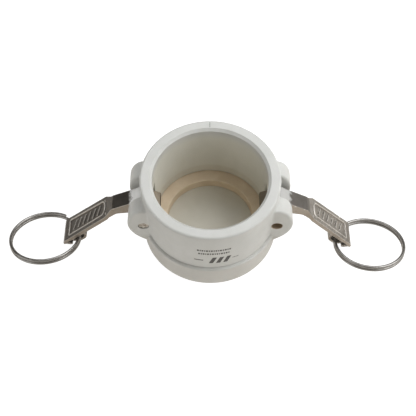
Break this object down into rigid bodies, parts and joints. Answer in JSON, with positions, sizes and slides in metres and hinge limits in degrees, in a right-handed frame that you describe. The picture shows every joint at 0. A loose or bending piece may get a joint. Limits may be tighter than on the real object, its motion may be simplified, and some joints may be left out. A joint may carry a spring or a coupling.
{
  "type": "camlock dust cap",
  "caption": "Closed-end female cam-and-groove cap: a plastic cup with a flat gasket, two metal cam arms on cross pins and a split finger ring on each arm, for sealing a 2 inch adapter.",
  "frame": {"origin": "centre of the closed end's flat outer face", "axes": "+Z along the bore, out of the mouth; +X towards the right-hand arm; -Y towards the front"},
  "size_m": [0.2417, 0.0796, 0.0721],
  "materials": {
    "body_plastic": "satin moulded polypropylene",
    "gasket_rubber": "matt",
    "pin_steel": "drawn wire, cut ends",
    "arm_cast_steel": "investment cast, tumbled",
    "ring_wire": "polished wire"
  },
  "bodies": {
    "cap": {"cap_body": "body_plastic", "gasket": "gasket_rubber", "pivot_pin_left": "pin_steel", "pivot_pin_right": "pin_steel"},
    "arm_left": {"cam_arm_left": "arm_cast_steel"},
    "arm_right": {"cam_arm_right": "arm_cast_steel"},
    "ring_left": {"finger_ring_left": "ring_wire"},
    "ring_right": {"finger_ring_right": "ring_wire"}
  },
  "joints": [
    {"name": "left_arm_pivot", "type": "hinge", "parent": "cap", "child": "arm_left", "pos_m": [-0.03745, 0, 0.0285], "axis": [0, -1, 0], "range_deg": [-58, 43.5]},
    {"name": "left_ring_swing", "type": "hinge", "parent": "arm_left", "child": "ring_left", "pos_m": [-0.08036, 0, -0.00894], "axis": [0.2385, -0.9287, 0.2839], "range_deg": [-45, 110]},
    {"name": "right_arm_pivot", "type": "hinge", "parent": "cap", "child": "arm_right", "pos_m": [0.03745, 0, 0.0285], "axis": [0, 1, 0], "range_deg": [-62, 40]},
    {"name": "right_ring_swing", "type": "hinge", "parent": "arm_right", "child": "ring_right", "pos_m": [0.07835, 0, -0.0135], "axis": [0.3665, 0.8898, -0.272], "range_deg": [-45, 110]}
  ]
}
